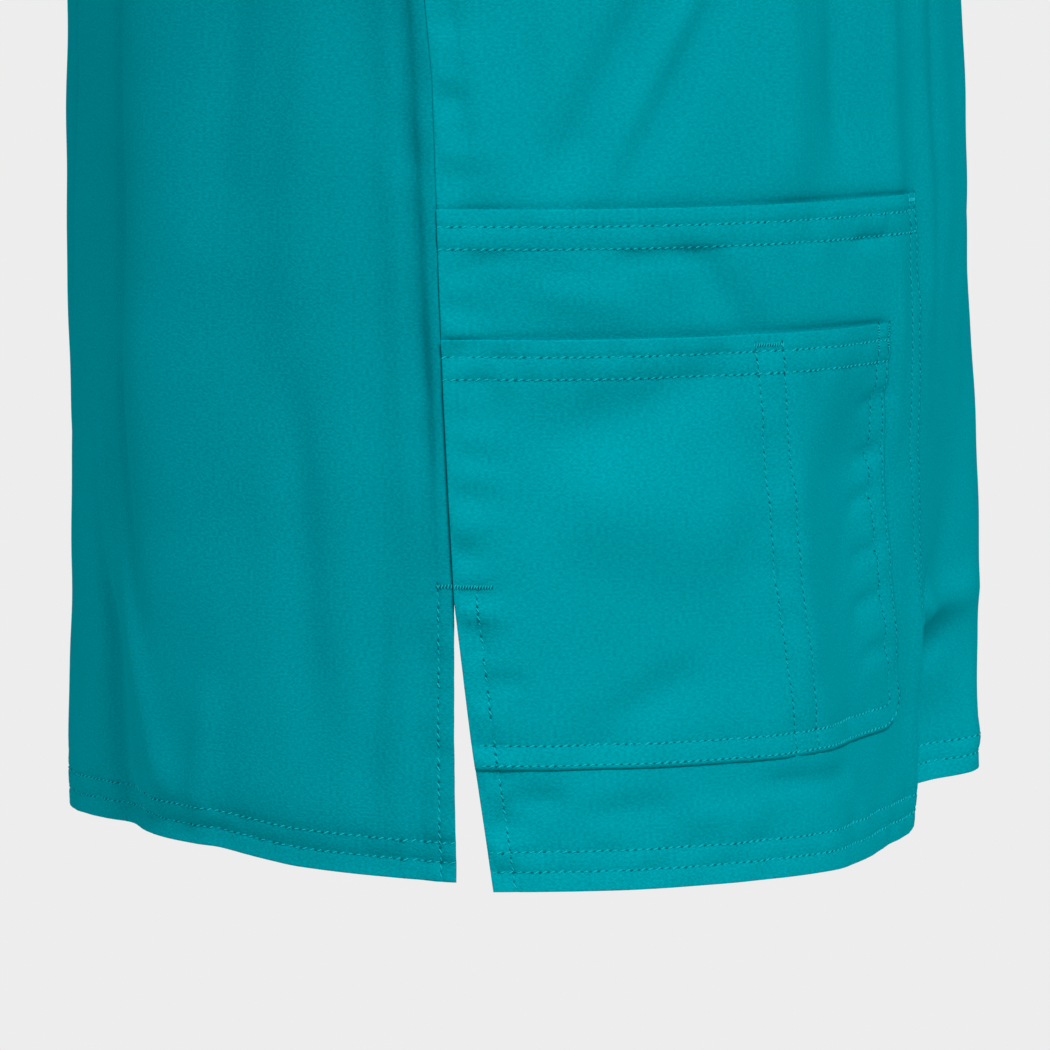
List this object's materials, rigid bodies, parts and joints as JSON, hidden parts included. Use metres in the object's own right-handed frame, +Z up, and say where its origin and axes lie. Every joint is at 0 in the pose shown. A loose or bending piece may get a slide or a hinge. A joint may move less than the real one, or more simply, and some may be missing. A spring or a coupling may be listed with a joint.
{
  "type": "scrub top",
  "caption": "Short-sleeved V-neck medical scrub top in worn shape, hollow, with side vents, patch pockets at the hem and a pen slot.",
  "frame": {"origin": "midway between the neck ends of the two shoulder seams, where the garment hangs on its wearer's shoulders", "axes": "+Z up, the front faces -Y, the wearer's right side is -X"},
  "size_m": [0.6904, 0.3081, 0.7116],
  "materials": {
    "scrub_cloth": "teal polyester-cotton twill, smooth, with a soft sheen"
  },
  "bodies": {
    "root": {"front_panel": "scrub_cloth", "back_panel": "scrub_cloth", "sleeve_right": "scrub_cloth", "sleeve_left": "scrub_cloth", "neckband": "scrub_cloth", "pocket_large_right": "scrub_cloth", "pocket_large_left": "scrub_cloth", "pocket_small_right": "scrub_cloth"}
  },
  "joints": []
}
